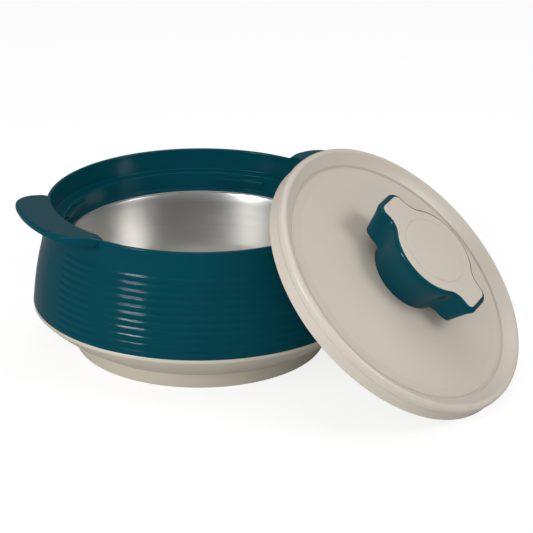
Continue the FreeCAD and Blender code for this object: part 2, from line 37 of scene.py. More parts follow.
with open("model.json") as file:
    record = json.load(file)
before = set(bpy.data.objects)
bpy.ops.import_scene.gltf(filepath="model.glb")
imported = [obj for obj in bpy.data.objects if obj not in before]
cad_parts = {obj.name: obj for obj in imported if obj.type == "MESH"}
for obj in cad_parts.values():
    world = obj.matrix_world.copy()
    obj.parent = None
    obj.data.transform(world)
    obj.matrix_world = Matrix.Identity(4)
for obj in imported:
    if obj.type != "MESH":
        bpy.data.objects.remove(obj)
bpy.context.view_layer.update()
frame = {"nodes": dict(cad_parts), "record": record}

MM = 0.001
# Sides of every turned piece, the radius in millimetres that stands in for the axis, and the
# distance in metres within which points are merged
STEPS = 192
POLE = 0.1
MERGE = 2e-6
POT, LID, SEAL = "casserole", "lid", "gasket"


class PotSizes(bpy.types.PropertyGroup):
    """Sizes of the drum's ribs and of the ears, in metres"""
    rib_first: bpy.props.FloatProperty(
        name="First rib", description="Height of the lowest rib's crest", default=0.0380, unit="LENGTH")
    rib_pitch: bpy.props.FloatProperty(
        name="Rib pitch", description="Distance from one rib to the next", default=0.00533, unit="LENGTH")
    rib_height: bpy.props.FloatProperty(
        name="Rib height", description="How far a rib stands out of the drum", default=0.0007,
        unit="LENGTH")
    rib_count: bpy.props.IntProperty(
        name="Ribs", description="Ribs from the drum's lower edge upwards", default=11)
    rib_half_arc: bpy.props.FloatProperty(
        name="Rib half arc", description="Angle from the middle of the front to where the ribs have gone",
        default=math.radians(60.0), subtype="ANGLE")
    rib_fade_arc: bpy.props.FloatProperty(
        name="Rib fade", description="Angle over which each rib runs out", default=math.radians(7.0),
        subtype="ANGLE")
    ear_azimuth: bpy.props.FloatProperty(
        name="Ear direction", description="Azimuth of the right ear", default=math.radians(25.5),
        subtype="ANGLE")
    ear_reach: bpy.props.FloatProperty(
        name="Ear reach", description="Radius of the ears' outer edge", default=0.137, unit="LENGTH")
    ear_width: bpy.props.FloatProperty(
        name="Ear width", description="Width of an ear along the rim", default=0.099, unit="LENGTH")


class LidSizes(bpy.types.PropertyGroup):
    """How the lid leans, in metres and degrees"""
    tilt: bpy.props.FloatProperty(
        name="Tilt", description="Angle between the lid's axis and the vertical",
        default=math.radians(44.4), subtype="ANGLE")
    azimuth: bpy.props.FloatProperty(
        name="Direction", description="Direction the lid leans towards from the pot's axis",
        default=math.radians(-33.0), subtype="ANGLE")
    centre_reach: bpy.props.FloatProperty(
        name="Centre reach", description="Distance of the lid's centre from the pot's axis",
        default=0.161824, unit="LENGTH")
    centre_height: bpy.props.FloatProperty(
        name="Centre height", description="Height of the centre of the lid's lower edge",
        default=0.075983, unit="LENGTH")
    handle_turn: bpy.props.FloatProperty(
        name="Handle turn", description="Turn of the handle off the line that climbs the lid",
        default=math.radians(7.0), subtype="ANGLE")


class FinishColours(bpy.types.PropertyGroup):
    """Colours of the finishes"""
    teal: bpy.props.FloatVectorProperty(
        name="Teal", description="Dark teal of the drum and the handle", size=3, min=0, max=1,
        default=(0.0, 0.050, 0.070), subtype="COLOR")
    beige: bpy.props.FloatVectorProperty(
        name="Beige", description="Light beige of the lid", size=3, min=0, max=1,
        default=(0.585, 0.530, 0.452), subtype="COLOR")
    base: bpy.props.FloatVectorProperty(
        name="Base beige", description="Light beige of the base", size=3, min=0, max=1,
        default=(0.560, 0.515, 0.430), subtype="COLOR")
    steel: bpy.props.FloatVectorProperty(
        name="Steel", description="Stainless steel of the bowl", size=3, min=0, max=1,
        default=(0.72, 0.70, 0.67), subtype="COLOR")


class StageSizes(bpy.types.PropertyGroup):
    """How the camera stands"""
    distance: bpy.props.FloatProperty(
        name="Camera distance", description="From the camera to the middle of the pot's foot",
        default=1.74875, unit="LENGTH")
    elevation: bpy.props.FloatProperty(
        name="Camera elevation", description="Angle of the camera above the table",
        default=math.radians(23.484), subtype="ANGLE")
    roll: bpy.props.FloatProperty(
        name="Camera roll", description="Roll of the camera about its own axis",
        default=math.radians(-0.265), subtype="ANGLE")
    focal_pixels: bpy.props.FloatProperty(
        name="Focal length", description="Focal length in pixels of a 533 pixel frame", default=2300.0)
    foot_pixel: bpy.props.FloatVectorProperty(
        name="Foot pixel", description="Where the middle of the foot falls in a 533 pixel frame",
        size=2, default=(200.26, 335.987))


# Shader nodes

class ShaderMath:
    """A node's output that can be used in Python expressions."""

    def __init__(self, tree, socket):
        self.tree, self.socket = tree, socket

    def _math(self, operation, a, b=0.5, clamp=False):
        return node(self.tree, "ShaderNodeMath", {"operation": operation, "use_clamp": clamp}, {0: a, 1: b})

    def __add__(self, other):
        return self._math("ADD", self, other)

    def __sub__(self, other):
        return self._math("SUBTRACT", self, other)

    def __mul__(self, other):
        return self._math("MULTIPLY", self, other)

    def clamped(self):
        return self._math("ADD", self, 0.0, clamp=True)

    def sqrt(self):
        return self._math("SQRT", self)

    def turn(self, other):
        return self._math("ARCTAN2", self, other)

    __radd__, __rmul__ = __add__, __mul__


def node(tree, kind, settings=None, inputs=None, output=0):
    """Add a node: its settings first, then the values or links of its sockets."""
    made = tree.nodes.new(kind)
    for key, value in (settings or {}).items():
        setattr(made, key, value)
    for key, value in (inputs or {}).items():
        if isinstance(value, ShaderMath):
            tree.links.new(value.socket, made.inputs[key])
        elif isinstance(value, (tuple, list)) and len(value) == 3 and made.inputs[key].type == "RGBA":
            made.inputs[key].default_value = (*value, 1.0)
        else:
            made.inputs[key].default_value = value
    return ShaderMath(tree, made.outputs[output])


def new_material(name, **values):
    """A material with a Principled shader, and the shader's node."""
    material = bpy.data.materials.new(name)
    material.use_nodes = True
    shader = material.node_tree.nodes["Principled BSDF"]
    for key, value in values.items():
        socket = shader.inputs[key.replace("_", " ")]
        socket.default_value = (*value, 1.0) if isinstance(value, (tuple, list)) else value
    return material, shader


def feed(shader, **links):
    for key, value in links.items():
        shader.id_data.links.new(value.socket, shader.inputs[key.replace("_", " ")])


def noise(tree, place, scale, detail=3.0, rough=0.5):
    return node(tree, "ShaderNodeTexNoise", {"noise_dimensions": "3D"},
                {"Vector": place, "Scale": scale, "Detail": detail, "Roughness": rough})


def object_place(tree):
    return node(tree, "ShaderNodeTexCoord", {}, {}, 3)


def blend_colour(tree, factor, first, second):
    """Mix two colours."""
    made = tree.nodes.new("ShaderNodeMix")
    made.data_type = "RGBA"
    tree.links.new(factor.socket, made.inputs["Factor"])
    for key, value in (("A", first), ("B", second)):
        socket = [s for s in made.inputs if s.name == key and s.type == "RGBA"][0]
        if isinstance(value, ShaderMath):
            tree.links.new(value.socket, socket)
        else:
            socket.default_value = (*value, 1.0)
    out = [s for s in made.outputs if s.type == "RGBA"][0]
    return ShaderMath(tree, out)


def bump(tree, height, strength, distance, below=None):
    inputs = {"Height": height, "Strength": strength, "Distance": distance}
    if below is not None:
        inputs["Normal"] = below
    return node(tree, "ShaderNodeBump", {}, inputs)


def moulded_plastic(name, colour, roughness, mottle=0.04, grain=0.02, level=0.5):
    """Moulded plastic: faint mottling, slight waviness and fine handling marks in the gloss."""
    material, shader = new_material(name, IOR=1.49, Specular_IOR_Level=level)
    tree = material.node_tree
    place = object_place(tree)
    cloud = noise(tree, place, 9.0, 2.0)
    fine = noise(tree, place, 900.0, 2.0)
    marks = noise(tree, place, 60.0, 5.0, 0.65)
    darker = tuple(c * (1.0 - mottle) for c in colour)
    lighter = tuple(min(1.0, c * (1.0 + mottle)) for c in colour)
    mottled = blend_colour(tree, cloud.clamped(), darker, lighter)
    gloss = roughness + (marks - 0.5) * 0.10 + (fine - 0.5) * grain
    waves = bump(tree, noise(tree, place, 45.0, 1.0), 0.05, 0.001)
    skin = bump(tree, fine, 0.06, 0.0002, waves)
    feed(shader, Base_Color=mottled, Roughness=gloss.clamped(), Normal=skin)
    return material


def brushed_steel(name, colour, lowest):
    """Stainless steel with fine circular brushing round the pot's axis."""
    material, shader = new_material(name, Metallic=1.0)
    tree = material.node_tree
    place = object_place(tree)
    parts = tree.nodes.new("ShaderNodeSeparateXYZ")
    tree.links.new(place.socket, parts.inputs[0])
    x, y, z = (ShaderMath(tree, parts.outputs[i]) for i in range(3))
    radius = (x * x + y * y).sqrt()
    angle = y.turn(x)
    along = node(tree, "ShaderNodeCombineXYZ", {}, {0: radius * 2600.0, 1: z * 2600.0, 2: angle * 3.0})
    broad = node(tree, "ShaderNodeCombineXYZ", {}, {0: radius * 300.0, 1: z * 300.0, 2: angle * 1.5})
    hair = noise(tree, along, 1.0, 3.0, 0.6)
    bands = noise(tree, broad, 1.0, 2.0, 0.5)
    tint = blend_colour(tree, bands.clamped(), tuple(c * 0.88 for c in colour), colour)
    feed(shader, Base_Color=tint, Roughness=(lowest + hair * 0.08 + bands * 0.04).clamped(),
         Normal=bump(tree, hair, 0.04, 0.0001))
    return material


def rigid_foam(name, colour):
    """Cut rigid foam: small closed cells and a slightly uneven colour."""
    material, shader = new_material(name, Roughness=0.9)
    tree = material.node_tree
    place = object_place(tree)
    cells = node(tree, "ShaderNodeTexVoronoi", {"feature": "F1"}, {"Vector": place, "Scale": 700.0})
    cloud = noise(tree, place, 30.0, 3.0)
    tint = blend_colour(tree, cloud.clamped(), tuple(c * 0.85 for c in colour), colour)
    feed(shader, Base_Color=tint, Normal=bump(tree, cells, 0.5, 0.0006))
    return material


def silicone(name, colour):
    """Milky silicone with a dusty, uneven sheen."""
    material, shader = new_material(name, IOR=1.41, Subsurface_Weight=0.15, Subsurface_Scale=0.003)
    tree = material.node_tree
    place = object_place(tree)
    dust = noise(tree, place, 120.0, 4.0, 0.7)
    cloud = noise(tree, place, 25.0, 2.0)
    tint = blend_colour(tree, cloud.clamped(), tuple(c * 0.92 for c in colour), colour)
    feed(shader, Base_Color=tint, Roughness=(0.42 + dust * 0.25).clamped(),
         Normal=bump(tree, dust, 0.1, 0.0002))
    return material


def plated_steel(name, colour):
    """Zinc plated fastener steel with small blotches."""
    material, shader = new_material(name, Metallic=1.0)
    tree = material.node_tree
    place = object_place(tree)
    blotch = noise(tree, place, 400.0, 4.0, 0.6)
    tint = blend_colour(tree, blotch.clamped(), tuple(c * 0.8 for c in colour), colour)
    feed(shader, Base_Color=tint, Roughness=(0.25 + blotch * 0.2).clamped(),
         Normal=bump(tree, blotch, 0.1, 0.0001))
    return material


_finishes = {}


def finish(name):
    """The finish for one of the record's slots, made once."""
    if not _finishes:
        colours = bpy.context.scene.casserole_colours
        teal, beige, base, steel = (tuple(c) for c in (colours.teal, colours.beige, colours.base,
                                                       colours.steel))
        _finishes.update(
            shell_teal=moulded_plastic("Teal plastic", teal, 0.12, 0.08, 0.02, 0.11),
            lid_beige=moulded_plastic("Lid beige plastic", beige, 0.33),
            base_beige=moulded_plastic("Base beige plastic", base, 0.36),
            liner_beige=moulded_plastic("Liner plastic", tuple(0.95 * c for c in beige), 0.48, 0.05, 0.06),
            bowl_steel=brushed_steel("Bowl steel", steel, 0.24),
            foam=rigid_foam("Rigid foam", (0.74, 0.66, 0.46)),
            silicone=silicone("Silicone", (0.66, 0.66, 0.63)),
            fastener_steel=plated_steel("Plated steel", (0.60, 0.60, 0.61)))
    return _finishes[name]


# Modelling helpers: millimetres in, metres out

def select_only(piece):
    bpy.ops.object.select_all(action="DESELECT")
    piece.select_set(True)
    bpy.context.view_layer.objects.active = piece


def edit(piece):
    select_only(piece)
    bpy.ops.object.mode_set(mode="EDIT")


def done_editing():
    bpy.ops.object.mode_set(mode="OBJECT")


def rounded(corners, closed=False):
    """Replace each corner (r, z, fillet) by an arc of that fillet; two numbers stay a sharp point."""
    path = []
    count = len(corners)
    for i, corner in enumerate(corners):
        here = Vector(corner[:2])
        fillet = corner[2] if len(corner) > 2 else 0.0
        if not fillet or (not closed and i in (0, count - 1)):
            path.append(tuple(here))
            continue
        before = Vector(corners[i - 1][:2]) - here
        after = Vector(corners[(i + 1) % count][:2]) - here
        half = 0.5 * before.angle(after)
        reach = min(fillet / math.tan(half), 0.49 * before.length, 0.49 * after.length)
        start, end = here + before.normalized() * reach, here + after.normalized() * reach
        pieces = 4 if fillet < 1.0 else 6
        for k in range(pieces + 1):
            t = k / pieces
            path.append(tuple(start * (1 - t) ** 2 + here * (2 * t * (1 - t)) + end * t ** 2))
    return path


def arc_points(start, middle, end, count):
    """Points after the start on the circle through three points."""
    (ax, ay), (bx, by), (cx, cy) = start, middle, end
    d = 2.0 * (ax * (by - cy) + bx * (cy - ay) + cx * (ay - by))
    sa, sb, sc = ax * ax + ay * ay, bx * bx + by * by, cx * cx + cy * cy
    ux = (sa * (by - cy) + sb * (cy - ay) + sc * (ay - by)) / d
    uy = (sa * (cx - bx) + sb * (ax - cx) + sc * (bx - ax)) / d
    radius = math.hypot(ax - ux, ay - uy)
    a0, a1 = math.atan2(ay - uy, ax - ux), math.atan2(cy - uy, cx - ux)
    turn = (a1 - a0 + math.pi) % (2.0 * math.pi) - math.pi
    return [(ux + radius * math.cos(a0 + turn * (k + 1) / count),
             uy + radius * math.sin(a0 + turn * (k + 1) / count)) for k in range(count)]


def select_by(piece, wanted):
    """In edit mode, select only the vertices that a test on their place picks."""
    bpy.ops.mesh.select_all(action="DESELECT")
    mesh = bmesh.from_edit_mesh(piece.data)
    for vertex in mesh.verts:
        vertex.select_set(wanted(vertex.co))
    mesh.select_flush_mode()
    bmesh.update_edit_mesh(piece.data)


def turned(name, path, steps=STEPS):
    """Turn an (r, z) path about Z: a circle is extruded and resized from ring to ring."""
    path = [(max(r, POLE), z) for r, z in path]
    r, z = path[0]
    bpy.ops.object.select_all(action="DESELECT")
    bpy.ops.mesh.primitive_circle_add(vertices=steps, radius=r * MM, location=(0, 0, 0))
    piece = bpy.context.object
    piece.name = name
    bpy.ops.object.mode_set(mode="EDIT")
    bpy.ops.mesh.select_all(action="SELECT")
    bpy.ops.transform.translate(value=(0, 0, z * MM))
    for next_r, next_z in path[1:]:
        k = next_r / r
        bpy.ops.mesh.extrude_region_move(TRANSFORM_OT_translate={"value": (0, 0, (next_z - z) * MM)})
        if abs(k - 1.0) > 1e-9:
            bpy.ops.transform.resize(value=(k, k, 1), center_override=(0, 0, next_z * MM))
        r, z = next_r, next_z
    for pole_r, pole_z in (path[0], path[-1]):
        if pole_r == POLE:
            select_by(piece, lambda co: math.hypot(co.x, co.y) < 2 * POLE * MM
                      and abs(co.z - pole_z * MM) < 1e-5)
            bpy.ops.mesh.merge(type="CENTER")
    bpy.ops.mesh.select_all(action="SELECT")
    bpy.ops.mesh.remove_doubles(threshold=MERGE)
    bpy.ops.mesh.select_all(action="SELECT")
    bpy.ops.mesh.normals_make_consistent(inside=False)
    done_editing()
    return piece


def evenly(path, count):
    """Points at even steps along a line of points."""
    steps = [math.dist(a, b) for a, b in zip(path, path[1:])]
    total, spread = sum(steps), []
    for k in range(count + 1):
        rest, i = total * k / count, 0
        while i < len(steps) - 1 and rest > steps[i]:
            rest -= steps[i]
            i += 1
        t = min(1.0, rest / steps[i])
        spread.append(tuple(a + t * (b - a) for a, b in zip(path[i], path[i + 1])))
    return spread


def closed_path(points):
    return points + [points[0]]


def smooth(piece, degrees=32.0):
    select_only(piece)
    bpy.ops.object.shade_smooth_by_angle(angle=math.radians(degrees), keep_sharp_edges=True)


def apply_all(piece):
    select_only(piece)
    for modifier in list(piece.modifiers):
        bpy.ops.object.modifier_apply(modifier=modifier.name)


def modifier(piece, kind, **settings):
    select_only(piece)
    bpy.ops.object.modifier_add(type=kind)
    made = piece.modifiers[-1]
    for key, value in settings.items():
        setattr(made, key, value)
    return made


def move_into_place(piece, matrix):
    piece.matrix_world = matrix
    select_only(piece)
    bpy.ops.object.transform_apply(location=True, rotation=True, scale=True)


def finish_piece(piece, slot, body, *nodes, degrees=32.0):
    """Smooth and paint a finished piece, attach it to its body and hide the frame nodes it stands in for.
    """
    smooth(piece, degrees)
    piece.data.materials.clear()
    piece.data.materials.append(finish(slot))
    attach(piece, body)
    if nodes:
        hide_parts(*nodes)
    return piece


def join(pieces, name):
    select_only(pieces[0])
    for piece in pieces[1:]:
        piece.select_set(True)
    bpy.ops.object.join()
    bpy.context.object.name = name
    return bpy.context.object


def lean_matrix(turn=0.0):
    """From the lid's own frame to where the lid leans."""
    lid = bpy.context.scene.casserole_lid
    spot = Matrix.Translation((lid.centre_reach * math.cos(lid.azimuth),
                               lid.centre_reach * math.sin(lid.azimuth), lid.centre_height))
    return (spot @ Matrix.Rotation(lid.azimuth, 4, "Z") @ Matrix.Rotation(lid.tilt, 4, "Y")
            @ Matrix.Rotation(math.radians(90.0) + turn, 4, "Z"))


def ring_segment(name, inner, outer, low, high, middle, span, edge=0.4):
    """A short piece of a ring with softened edges, spun from a small face."""
    bpy.ops.object.select_all(action="DESELECT")
    bpy.ops.mesh.primitive_plane_add(size=1.0, location=(0, 0, 0))
    piece = bpy.context.object
    piece.name = name
    start = middle - 0.5 * span
    for vertex in piece.data.vertices:
        r = (outer if vertex.co.x > 0 else inner) * MM
        z = (high if vertex.co.y > 0 else low) * MM
        vertex.co = (r * math.cos(start), r * math.sin(start), z)
    edit(piece)
    bpy.ops.mesh.select_all(action="SELECT")
    bpy.ops.mesh.spin(steps=16, dupli=False, angle=-span, center=(0, 0, 0), axis=(0, 0, 1))
    bpy.ops.mesh.select_all(action="SELECT")
    bpy.ops.mesh.remove_doubles(threshold=1e-6)
    bpy.ops.mesh.normals_make_consistent(inside=False)
    done_editing()
    modifier(piece, "BEVEL", width=edge * MM, segments=3, limit_method="ANGLE",
             angle_limit=math.radians(40))
    apply_all(piece)
    return piece


# Pieces of the pot

# Three points of each of the two arcs that make the drum's face, as radius and height
DRUM_WAIST_Z = 74.0
DRUM_LOW = ((125.0, 35.6), (122.9, 55.0), (119.3, DRUM_WAIST_Z))
DRUM_HIGH = ((119.3, DRUM_WAIST_Z), (115.8, 92.0), (113.5, 111.1))
LUG_COUNT = 4
COLLAR_LUG_AZIMUTH, COLLAR_LUG_SPAN = math.radians(71.5), math.radians(22)
LID_LUG_AZIMUTH, LID_LUG_SPAN = math.radians(45.0), math.radians(18)
LUG_PITCH = math.radians(90)
EAR_INNER_R, EAR_CORNER, EAR_CORNER_STEPS, EAR_STEPS = 110.6, 21.0, 12, 72
EAR_TIP_STEPS = 8
EAR_SECTION_POINTS = 22


class CASSEROLE_OT_drum(bpy.types.Operator):
    """Teal drum with its rolled rim, ribs, collar, ledge, lugs and both ears"""
    bl_idname = "casserole.drum"
    bl_label = "Drum, collar and ears"

    def execute(self, context):
        pot = context.scene.casserole_pot
        path = [DRUM_LOW[0]] + arc_points(*DRUM_LOW, 60) + arc_points(*DRUM_HIGH, 60)
        path += arc_points(path[-1], (112.1, 112.5), (110.7, 111.1), 10)
        inside = rounded([
            (110.7, 111.1), (109.8, 96.5, 1.0), (100.8, 96.5, 0.7), (100.8, 84.0, 0.8), (98.2, 84.0, 0.5),
            (98.2, 82.0), (102.8, 82.0), (102.8, 94.5), (111.8, 94.5), (111.8, 98.5), (111.1, 94.4),
            (116.9, 74.0), (120.5, 55.0), (122.6, 35.6)])
        piece = turned("drum", closed_path(path + inside[1:]))
        self.raise_ribs(piece, pot)
        ears = [self.ear(pot, 0.0), self.ear(pot, math.pi)]
        lugs = [ring_segment("lug", 98.3, 101.8, 90.6, 92.6, COLLAR_LUG_AZIMUTH + LUG_PITCH * i,
                             COLLAR_LUG_SPAN) for i in range(LUG_COUNT)]
        piece = join([piece] + ears + lugs, "outer_shell_finished")
        finish_piece(piece, "shell_teal", POT, "outer_shell", degrees=35.0)
        return {"FINISHED"}

    def raise_ribs(self, piece, pot):
        """Push the drum's face out along rounded crests that fade at both ends."""
        group = piece.vertex_groups.new(name="ribs")
        half_width = 0.42 * pot.rib_pitch
        for vertex in piece.data.vertices:
            x, y, z = vertex.co
            radius = math.hypot(x, y)
            index = round((z - pot.rib_first) / pot.rib_pitch)
            if not 0 <= index < pot.rib_count or radius < self.face_radius(z) - 0.4 * MM:
                continue
            offset = abs(z - pot.rib_first - index * pot.rib_pitch) / half_width
            if offset >= 1.0:
                continue
            side = abs(math.atan2(x, abs(y)))
            fade = min(1.0, max(0.0, (pot.rib_half_arc - side) / pot.rib_fade_arc))
            weight = (1.0 - offset ** 2) ** 0.8 * fade * fade * (3.0 - 2.0 * fade)
            if weight > 0.0:
                group.add([vertex.index], weight, "REPLACE")
        modifier(piece, "DISPLACE", strength=pot.rib_height, mid_level=0.0, direction="NORMAL",
                 vertex_group="ribs")
        apply_all(piece)

    def face_radius(self, z):
        z /= MM
        points = DRUM_LOW if z < DRUM_WAIST_Z else DRUM_HIGH
        (r0, z0), (r1, z1), (r2, z2) = points
        return MM * (r0 * (z - z1) * (z - z2) / ((z0 - z1) * (z0 - z2))
                     + r1 * (z - z0) * (z - z2) / ((z1 - z0) * (z1 - z2))
                     + r2 * (z - z0) * (z - z1) / ((z2 - z0) * (z2 - z1)))

    def ear(self, pot, turn):
        """A wing whose sections run from the mouth's edge outwards, with a rounded rim all round."""
        reach, half = pot.ear_reach / MM, 0.5 * pot.ear_width / MM
        centre_y = half - EAR_CORNER
        centre_x = math.sqrt((reach - EAR_CORNER) ** 2 - centre_y ** 2)
        joint = math.atan2(centre_y, centre_x)
        side = [(math.sqrt(EAR_INNER_R ** 2 - half ** 2), half), (centre_x, half)]
        for k in range(1, EAR_CORNER_STEPS + 1):
            a = 0.5 * math.pi + (joint - 0.5 * math.pi) * k / EAR_CORNER_STEPS
            side.append((centre_x + EAR_CORNER * math.cos(a), centre_y + EAR_CORNER * math.sin(a)))
        tip = [(reach * math.cos(joint * k / EAR_TIP_STEPS), reach * math.sin(joint * k / EAR_TIP_STEPS))
               for k in range(EAR_TIP_STEPS - 1, -EAR_TIP_STEPS, -1)]
        outer = evenly(side + tip + [(x, -y) for x, y in side[::-1]], EAR_STEPS)
        span = math.asin(half / EAR_INNER_R)
        rings = []
        for k, (x, y) in enumerate(outer):
            angle = span * (1.0 - 2.0 * k / (len(outer) - 1))
            root = Vector((EAR_INNER_R * math.cos(angle), EAR_INNER_R * math.sin(angle)))
            rings.append(self.ear_section(root, Vector((x, y))))
        piece = ring_stack("ear", rings, False)
        move_into_place(piece, Matrix.Rotation(pot.ear_azimuth + turn, 4, "Z"))
        return piece

    def ear_section(self, root, tip):
        """Loop of points round one section of an ear, between its root and its edge."""
        length = (tip - root).length
        if length < 0.05:
            return [(root.x, root.y, 110.0)] * EAR_SECTION_POINTS
        out = (tip - root).normalized()
        fullness = min(1.0, length / 9.0)
        fullness *= fullness * (3.0 - 2.0 * fullness)
        edge = min(2.4, 0.45 * length)

        def top(u):
            r = (root + out * u).length
            return 112.2 + (2.8 + (r - 110.7) * 0.1214) * fullness

        def low(u):
            r = (root + out * u).length
            return min(106.0 + (r - 113.0) * 0.2828 + 5.5 * (1.0 - fullness), top(u) - 1.5)

        loop = [(u * (length - edge), top(u * (length - edge))) for u in (0.0, 0.25, 0.5, 0.75, 1.0)]
        for k in range(1, 7):
            a = 0.5 * math.pi * k / 6
            loop.append((length - edge + edge * math.sin(a),
                         top(length - edge) - edge * (1.0 - math.cos(a))))
        under = min(1.6, 0.5 * (loop[-1][1] - low(length)))
        for k in range(6):
            a = 0.5 * math.pi * k / 5
            loop.append((length - under * (1.0 - math.cos(a)),
                         low(length - under) + under * (1.0 - math.sin(a))))
        loop += [(u * (length - under), low(u * (length - under))) for u in (0.8, 0.6, 0.4, 0.2, 0.0)]
        return [((root + out * u).x, (root + out * u).y, z) for u, z in loop]


class CASSEROLE_OT_bowl(bpy.types.Operator):
    """Steel bowl with its flange under the collar floor"""
    bl_idname = "casserole.bowl"
    bl_label = "Steel bowl"

    def execute(self, context):
        inside = [(0.0, 22.0), (70.0, 22.0)] + arc_points((70.0, 22.0), (81.314, 26.686), (86.0, 38.0), 12)
        inside += rounded([(86.0, 38.0), (96.8, 80.2), (97.15, 81.05), (98.0, 81.4), (102.2, 81.4)])[1:]
        outside = [(102.2, 80.8), (98.0, 80.8), (97.4, 80.2), (86.6, 38.0)]
        outside += arc_points((86.6, 38.0), (81.738, 26.262), (70.0, 21.4), 8) + [(0.0, 21.4)]
        fine = self.denser(inside) + outside
        piece = turned("steel_bowl_finished", fine)
        finish_piece(piece, "bowl_steel", POT, "steel_bowl")
        return {"FINISHED"}

    def denser(self, path):
        """Add rings to the long straight runs, so that the steel's shading stays even."""
        dense = [path[0]]
        for (r0, z0), (r1, z1) in zip(path, path[1:]):
            count = max(1, int(math.hypot(r1 - r0, z1 - z0) / 6.0))
            dense += [(r0 + (r1 - r0) * k / count, z0 + (z1 - z0) * k / count) for k in range(1, count + 1)]
        return dense


class CASSEROLE_OT_base(bpy.types.Operator):
    """Beige base: lip, cone, foot ring and recessed plate"""
    bl_idname = "casserole.base"
    bl_label = "Base cover"

    def execute(self, context):
        cone = arc_points((97.6, 12.5), (112.3, 21.75), (125.0, 33.0), 14)
        path = rounded([
            (9.0, 6.75), (13.3, 6.75), (13.3, 5.0, 0.3), (90.6, 5.0, 0.6), (90.6, 0.0, 0.8),
            (93.6, 0.0, 1.2), (96.4, 11.5, 0.8), (97.6, 12.5, 0.5)] + cone[:-1] + [
            (125.0, 33.0, 0.4), (125.3, 35.0, 0.4), (125.0, 35.6), (122.3, 35.6), (121.5, 43.6),
            (119.5, 43.6), (120.3, 33.5), (110.8, 24.0), (96.7, 14.9), (93.4, 12.5), (90.6, 8.4),
            (9.0, 8.4)])
        piece = turned("base_cover_finished", closed_path(path))
        finish_piece(piece, "base_beige", POT, "base_cover", degrees=28.0)
        return {"FINISHED"}


# Pieces of the lid

DOME_EDGE_R, DOME_EDGE_H, DOME_TOP = 88.0, 9.3, 17.6
DOME_SPHERE = 470.7


class CASSEROLE_OT_lid_cover(bpy.types.Operator):
    """Beige lid top: side wall, crest, groove and shallow dome"""
    bl_idname = "casserole.lid_cover"
    bl_label = "Lid cover"

    def execute(self, context):
        side = rounded([(108.6, 0.0, 0.5), (108.3, 8.6, 0.7), (109.3, 10.6, 0.8), (109.1, 12.2)])
        side = [(106.4, 0.0), (108.2, 0.0)] + [(108.6, 0.4)] + side[1:]
        crest = arc_points((109.1, 12.2), (108.35, 14.8), (105.0, 15.8), 10)
        slope = arc_points((105.0, 15.8), (101.1, 12.6), (97.2, 10.0), 12)
        flat = rounded([(97.2, 10.0), (96.6, 8.3, 0.4), (95.7, 8.3, 0.4), (95.0, 9.1, 0.6),
                        (DOME_EDGE_R, DOME_EDGE_H, 3.0), (82.0, 10.4)])
        dome = self.dome(DOME_EDGE_R, DOME_EDGE_H, DOME_TOP)
        under = [(0.0, 15.4), (44.0, 13.3), (88.0, 7.1), (96.2, 6.9), (98.8, 8.3), (106.2, 13.6),
                 (106.4, 10.6), (106.4, 0.0)]
        piece = turned("lid_cover_finished", side + crest + slope + flat[1:-1] + dome + under[1:])
        move_into_place(piece, lean_matrix())
        finish_piece(piece, "lid_beige", LID, "lid_cover", degrees=26.0)
        return {"FINISHED"}

    def dome(self, edge_r, edge_h, top_h):
        rise = top_h - edge_h
        sphere = (edge_r ** 2 + rise ** 2) / (2.0 * rise)
        radii = [edge_r * (1.0 - k / 24.0) for k in range(2, 25)]
        return [(r, top_h - sphere + math.sqrt(sphere ** 2 - r ** 2)) for r in radii]


class CASSEROLE_OT_lid_liner(bpy.types.Operator):
    """Plug under the lid with its flange, bead and bayonet lugs"""
    bl_idname = "casserole.lid_liner"
    bl_label = "Lid liner"

    def execute(self, context):
        path = rounded([
            (6.0, -8.0, 0.3), (97.0, -8.0, 1.2), (97.0, -3.3), (97.6, -3.3, 0.15), (97.6, -2.8, 0.15),
            (97.0, -2.8), (97.0, 0.4), (106.0, 0.4, 0.3), (106.0, 2.4, 0.3), (95.0, 2.4), (95.0, -6.0),
            (6.0, -6.0)], True)
        piece = turned("liner", closed_path(path))
        lugs = [ring_segment("lid lug", 96.0, 99.8, -8.0, -6.2, LID_LUG_AZIMUTH + LUG_PITCH * i,
                             LID_LUG_SPAN, 0.3) for i in range(LUG_COUNT)]
        piece = join([piece] + lugs, "lid_liner_finished")
        move_into_place(piece, lean_matrix())
        finish_piece(piece, "liner_beige", LID, "lid_liner")
        return {"FINISHED"}


class CASSEROLE_OT_gasket(bpy.types.Operator):
    """Silicone ring round the plug with a lip that reaches outwards"""
    bl_idname = "casserole.gasket"
    bl_label = "Gasket"

    def execute(self, context):
        path = rounded([
            (97.3, -2.5, 0.2), (99.2, -2.5, 0.3), (99.2, -1.1, 0.3), (100.5, -1.5, 0.15),
            (100.5, -0.7, 0.3), (99.2, 0.1, 0.2), (97.3, 0.1)], True)
        piece = turned("lid_gasket_finished", closed_path(path))
        move_into_place(piece, lean_matrix())
        finish_piece(piece, "silicone", SEAL, "lid_gasket")
        return {"FINISHED"}


# The handle in the lid's own frame: a disc that widens upwards and the sections of its two lobes
DISC_LOW, DISC_HIGH = (12.0, 27.0), (51.0, 36.2)
LOBES = [(23.2, 12.6, 40.0, 5.0), (25.6, 14.6, 43.8, 6.0), (36.0, 14.6, 47.2, 7.0), (51.0, 14.2, 52.0, 7.0)]
# How far the lobes have grown out of the disc at each height
LOBE_GROWTH = (
    (19.0, 0.0), (21.5, 0.0), (22.6, 0.02), (23.1, 0.06), (23.4, 0.2), (23.6, 0.6), (23.8, 0.9),
    (24.1, 0.96), (24.7, 0.99), (25.6, 1.0), (30.0, 1.0), (36.0, 1.0), (40.0, 1.0))
NECK = 14.0
CROWN_TOP = 50.2
CROWN_SPHERE = 480.0
